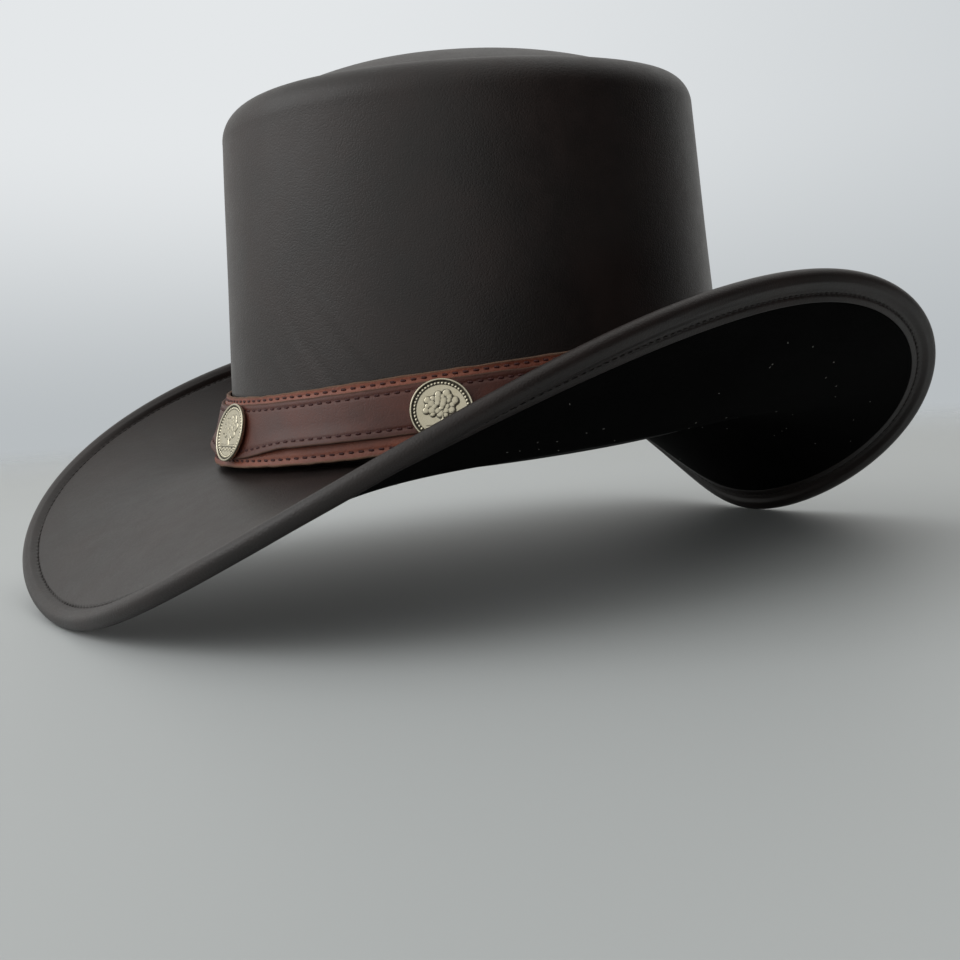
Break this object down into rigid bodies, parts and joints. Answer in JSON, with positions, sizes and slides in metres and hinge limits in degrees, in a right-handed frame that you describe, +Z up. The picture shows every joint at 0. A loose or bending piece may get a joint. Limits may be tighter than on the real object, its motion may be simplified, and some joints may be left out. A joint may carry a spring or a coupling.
{
  "type": "pirate hat",
  "caption": "Tall oval-crowned leather hat with a wired, side-curled brim, felt underside, sweatband, lining and a coin-studded double hatband that slides off upward.",
  "frame": {"origin": "bottom centre of the bounding box, on the plane the hat stands on by the front and rear of its brim", "axes": "-Y to the front (the wearer's face), +X to the wearer's left, +Z up; the crown's axis leans forward in the YZ plane by about 4 degrees"},
  "size_m": [0.2864, 0.3567, 0.2035],
  "materials": {
    "crown_leather": "satin, fine grain",
    "black_felt": "matt napped felt",
    "spring_wire": "drawn",
    "lining_satin": "satin weave",
    "seam_tape": "woven",
    "sweat_leather": "smooth",
    "reed_plastic": "extruded",
    "strap_leather": "oiled, raw edges",
    "overlay_leather": "smooth, waxed",
    "hat_thread_dark": "waxed twisted thread",
    "band_thread_red": "waxed twisted thread",
    "coin_silver": "antiqued, dark patina in the relief",
    "post_brass": "turned"
  },
  "bodies": {
    "hat": {"crown_wall": "crown_leather", "crown_top": "crown_leather", "crown_top_thread": "hat_thread_dark", "crown_back_tape": "seam_tape", "crown_back_thread": "hat_thread_dark", "lining_side": "lining_satin", "lining_tip": "lining_satin", "brim_leather": "crown_leather", "brim_felt": "black_felt", "brim_wire": "spring_wire", "brim_edge_thread_top": "hat_thread_dark", "brim_edge_thread_under": "hat_thread_dark", "brim_join_thread": "hat_thread_dark", "sweatband": "sweat_leather", "sweatband_reed": "reed_plastic", "sweatband_thread": "hat_thread_dark"},
    "hatband": {"band_strap": "strap_leather", "band_overlay": "overlay_leather", "strap_thread_lower": "band_thread_red", "strap_thread_upper": "band_thread_red", "overlay_thread_lower": "band_thread_red", "overlay_thread_upper": "band_thread_red", "lap_thread": "band_thread_red", "coin_1": "coin_silver", "coin_post_1": "post_brass", "coin_screw_1": "post_brass", "coin_2": "coin_silver", "coin_post_2": "post_brass", "coin_screw_2": "post_brass", "coin_3": "coin_silver", "coin_post_3": "post_brass", "coin_screw_3": "post_brass", "coin_4": "coin_silver", "coin_post_4": "post_brass", "coin_screw_4": "post_brass", "coin_5": "coin_silver", "coin_post_5": "post_brass", "coin_screw_5": "post_brass", "coin_6": "coin_silver", "coin_post_6": "post_brass", "coin_screw_6": "post_brass", "coin_7": "coin_silver", "coin_post_7": "post_brass", "coin_screw_7": "post_brass"}
  },
  "joints": [
    {"name": "band_lift", "type": "slide", "parent": "hat", "child": "hatband", "axis": [0, -0.0724, 0.9974], "range_m": [0, 0.16]}
  ]
}
